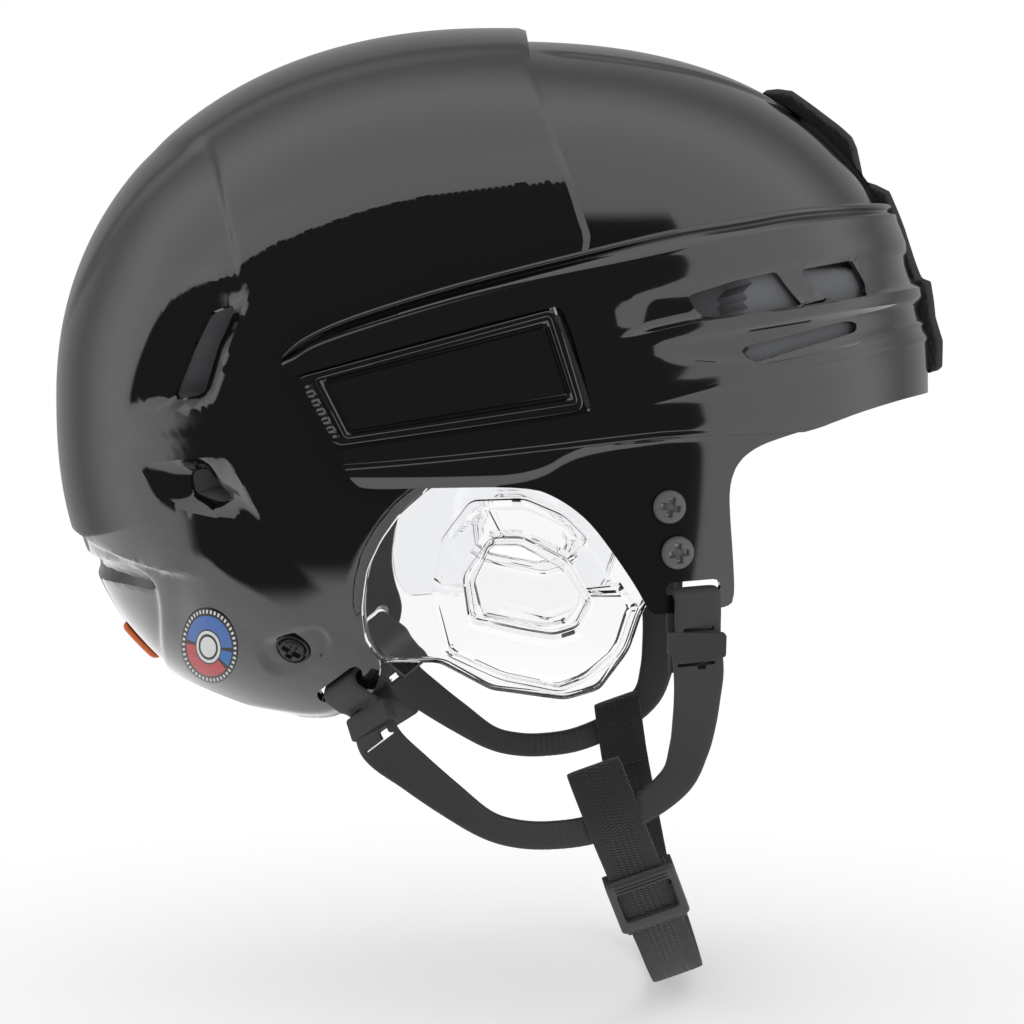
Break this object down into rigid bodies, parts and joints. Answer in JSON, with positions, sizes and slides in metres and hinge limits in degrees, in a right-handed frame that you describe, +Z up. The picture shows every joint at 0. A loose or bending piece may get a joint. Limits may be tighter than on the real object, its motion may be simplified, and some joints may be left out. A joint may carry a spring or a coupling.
{
  "type": "ice hockey helmet",
  "caption": "Adjustable ice hockey helmet: two nested gloss shells, flip-lever sizing, clear ear guards, foam liner, occipital cradle and looped chin strap.",
  "frame": {"origin": "middle of the line between the two ear holes, where the wearer's head sits", "axes": "+X to the wearer's front, +Y to the wearer's left, +Z up through the crown"},
  "size_m": [0.2753, 0.2146, 0.2967],
  "materials": {
    "shell_black": "gloss",
    "pebbled_black": "fine pebbled grain",
    "foam_grey": "moulded closed-cell foam, matt",
    "foam_black": "moulded closed-cell foam, matt",
    "pad_black": "soft knit over foam",
    "matte_black": "matt",
    "tab_orange": "satin",
    "webbing_black": "woven webbing",
    "buckle_grey": "satin",
    "loop_grey": "fine matt grain",
    "screw_grey": "painted",
    "nut_steel": "brushed",
    "clear": "clear, gloss"
  },
  "bodies": {
    "front": {"front_shell": "shell_black", "forehead_strip": "pebbled_black", "right_ear_guard": "clear", "left_ear_guard": "clear", "visor_screws": "screw_grey", "visor_nuts": "nut_steel", "right_lever_pin": "nut_steel", "left_lever_pin": "nut_steel", "brow_liner": "foam_grey", "crown_liner": "foam_grey", "brow_pad": "pad_black", "crown_pad": "pad_black", "right_temple_pad": "pad_black", "left_temple_pad": "pad_black", "right_chin_loop": "loop_grey", "left_chin_loop": "loop_grey", "chin_strap": "webbing_black"},
    "rear": {"rear_shell": "shell_black", "right_size_rack": "matte_black", "left_size_rack": "matte_black", "rear_screws": "screw_grey", "rear_nuts": "nut_steel", "rear_crown_liner": "foam_black", "rear_liner": "foam_black", "rear_pad": "pad_black"},
    "right_lever": {"right_lever": "shell_black"},
    "left_lever": {"left_lever": "shell_black"},
    "occipital": {"occipital_cradle": "matte_black", "occipital_pad": "pad_black", "occipital_tab": "tab_orange"},
    "buckle": {"strap_buckle": "buckle_grey"}
  },
  "joints": [
    {"name": "size_slide", "type": "slide", "parent": "front", "child": "rear", "axis": [-1, 0, 0], "range_m": [0, 0.018], "deforming": ["right_chin_loop", "left_chin_loop"]},
    {"name": "right_lever_flip", "type": "hinge", "parent": "front", "child": "right_lever", "pos_m": [0.01174, -0.10494, 0.06519], "axis": [-0.3536, 0.0276, 0.935], "range_deg": [0, 75]},
    {"name": "left_lever_flip", "type": "hinge", "parent": "front", "child": "left_lever", "pos_m": [0.01174, 0.10494, 0.06519], "axis": [0.3536, 0.0276, -0.935], "range_deg": [0, 75]},
    {"name": "occipital_slide", "type": "slide", "parent": "rear", "child": "occipital", "axis": [-0.6946, 0, 0.7194], "range_m": [-0.006, 0.006]},
    {"name": "buckle_slide", "type": "slide", "parent": "front", "child": "buckle", "axis": [0.2729, 0.587, -0.7622], "range_m": [-0.004, 0.006]}
  ]
}
